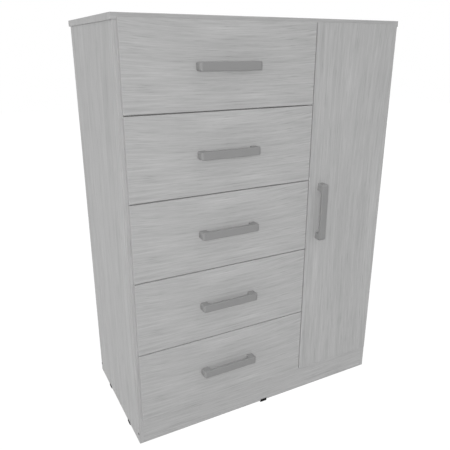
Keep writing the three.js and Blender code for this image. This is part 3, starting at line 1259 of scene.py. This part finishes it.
def lip_of(low, high, board_name, way):
    """A thin lip from a glide's foot up over that face of its board."""
    board_low, board_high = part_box(board_name)
    lip_low = Vector((low.x, low.y, high.z - lip_rise))
    lip_high = Vector((high.x, high.y, high.z + lip_rise))
    axis = 0 if way.x else 1
    surface = board_low[axis] if way[axis] < 0 else board_high[axis]
    lip_low[axis], lip_high[axis] = sorted((surface, surface + way[axis] * lip_thickness))
    lip = block("lip", lip_low, lip_high)
    soften(lip, lip_edge, segments=2)
    return lip


def glide(name, node_name, board_name, way):
    """A foot under a board, with its lip on the face that looks that way."""
    low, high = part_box(node_name)
    foot = block(name, low, high)
    round_off(foot, glide_end_radius, 8, runs(z=1))
    round_off(
        foot, glide_edge, 3, lambda middle, line: near(middle.z, low.z) and abs(line.z) < crossing
    )
    shade(foot)
    lip = lip_of(low, high, board_name, way)
    return fit(merge(name, [foot, lip]), "carcass", glide_plastic, [node_name])


for side, way in (("left", -rightwards), ("right", rightwards)):
    for end in ("front", "rear"):
        glide(f"{side}_{end}_foot", f"{side}_{end}_glide", f"{side}_side_panel", way)
glide("plinth_foot", "plinth_glide", "front_plinth", -backwards)
for model in head_models:
    bpy.data.objects.remove(model)
print("5 glides with lips of", round(lip_rise / mm, 1), "mm")

# %% [markdown]
# ## The studio
#
# The photograph has a pure white ground and a light that comes from everywhere, a little more
# from the front and the upper left. The world therefore shines evenly, and four lamps add the
# rest. A small one at the camera, which doesn't fade with distance, reaches into the gaps between
# the fronts. Large ones on the left and behind lift the side panel and the top, and a weak sun
# without shadows stands for the bright ceiling.
#
# The floor sends light back like grey card. To the camera it is nearly all white by itself, so
# that the ground is as pure as in the photograph.

# %% World and floor
ambient_strength = 0.54
floor_half = 8.0
floor_grey = grey(0.5)
floor_glow = 1.08
floor_glow_share = 0.92
white = grey(1)


def seen(tree):
    """One where a ray comes from the camera, from a glossy face or through glass."""
    path = node(tree, "ShaderNodeLightPath").outputs
    direct = maths(tree, "MAXIMUM", path["Is Camera Ray"], path["Is Glossy Ray"])
    return maths(tree, "MAXIMUM", direct, path["Is Transmission Ray"])


world = bpy.data.worlds.new("white studio")
bpy.context.scene.world = world
world.use_nodes = True
tree = world.node_tree
back_light = tree.nodes["Background"]
back_light.inputs["Color"].default_value = white
extra = maths(tree, "MULTIPLY", seen(tree), 1.0 - ambient_strength)
strength = maths(tree, "ADD", extra, ambient_strength)
tree.links.new(strength, back_light.inputs["Strength"])

bpy.ops.mesh.primitive_plane_add(size=2 * floor_half, location=(0, 0, cad_low.z))
floor = bpy.context.object
floor.name = "studio_floor"
card = bpy.data.materials.new("pale card")
card.use_nodes = True
tree = card.node_tree
plain = node(tree, "ShaderNodeBsdfDiffuse", {"Color": floor_grey})
glow = node(tree, "ShaderNodeEmission", {"Color": white, "Strength": floor_glow})
share = maths(tree, "MULTIPLY", seen(tree), floor_glow_share)
blend = node(tree, "ShaderNodeMixShader", {0: share, 1: plain.outputs[0], 2: glow.outputs[0]})
tree.links.new(blend.outputs[0], tree.nodes["Material Output"].inputs["Surface"])
tree.nodes.remove(tree.nodes["Principled BSDF"])
floor.data.materials.append(card)
floor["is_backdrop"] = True
print("the floor is", 2 * floor_half, "metres wide")

# %% Lamps
chest_middle = (cad_low + cad_high) / 2
near_lamp_size = 0.3
far_lamp_size = 3.0


def light(name, kind, place, strength, **settings):
    """A lamp that looks at the middle of the chest."""
    bpy.ops.object.light_add(type=kind, location=place)
    made = bpy.context.object
    made.name = name
    made.data.energy = strength
    for key, value in settings.items():
        setattr(made.data, key, value)
    made.rotation_euler = (chest_middle - Vector(place)).to_track_quat("-Z", "Y").to_euler()
    return made


def lamp(name, place, size, power):
    """A square area lamp."""
    return light(name, "AREA", place, power, shape="SQUARE", size=size)


near_lamp = lamp("near_lamp", (-0.74, -1.34, 1.05), near_lamp_size, power=3.8)
near_lamp.data.use_nodes = True
tree = near_lamp.data.node_tree
falloff = node(tree, "ShaderNodeLightFalloff", {"Strength": 1.0})
tree.links.new(falloff.outputs["Constant"], tree.nodes["Emission"].inputs["Strength"])
lamp("left_lamp", (-7.5, -0.6, 1.8), far_lamp_size, power=72.0)
lamp("rear_lamp", (5.0, 5.0, 2.4), far_lamp_size, power=240.0)
light("upper_fill", "SUN", (-3.26, -3.04, 4.57), strength=0.8, use_shadow=False)
print("lamps:", len(bpy.data.lights))

# %% [markdown]
# ## The camera
#
# The camera stands where the photographer's did. Its place and its field of view come from the
# straight edges of the chest in the photograph, solved for the chest's real size.

# %% Camera
camera_place = (-0.7173, -1.28475, 1.0333)
camera_tilt = math.radians(70.851)
camera_turn = math.radians(-27.852)
camera_lens = 40.60
camera_sensor = 36
bpy.ops.object.camera_add(location=camera_place, rotation=(camera_tilt, 0, camera_turn))
camera = bpy.context.object
camera.data.lens = camera_lens
camera.data.sensor_width = camera_sensor
bpy.context.scene.camera = camera
bpy.context.scene.view_settings.view_transform = "Standard"
print("the camera sees", round(math.degrees(camera.data.angle), 1), "degrees")

# %% Sizes and the last line
bpy.ops.object.select_all(action="DESELECT")
low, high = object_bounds()
print("visual box", [round(x, 4) for x in high - low])
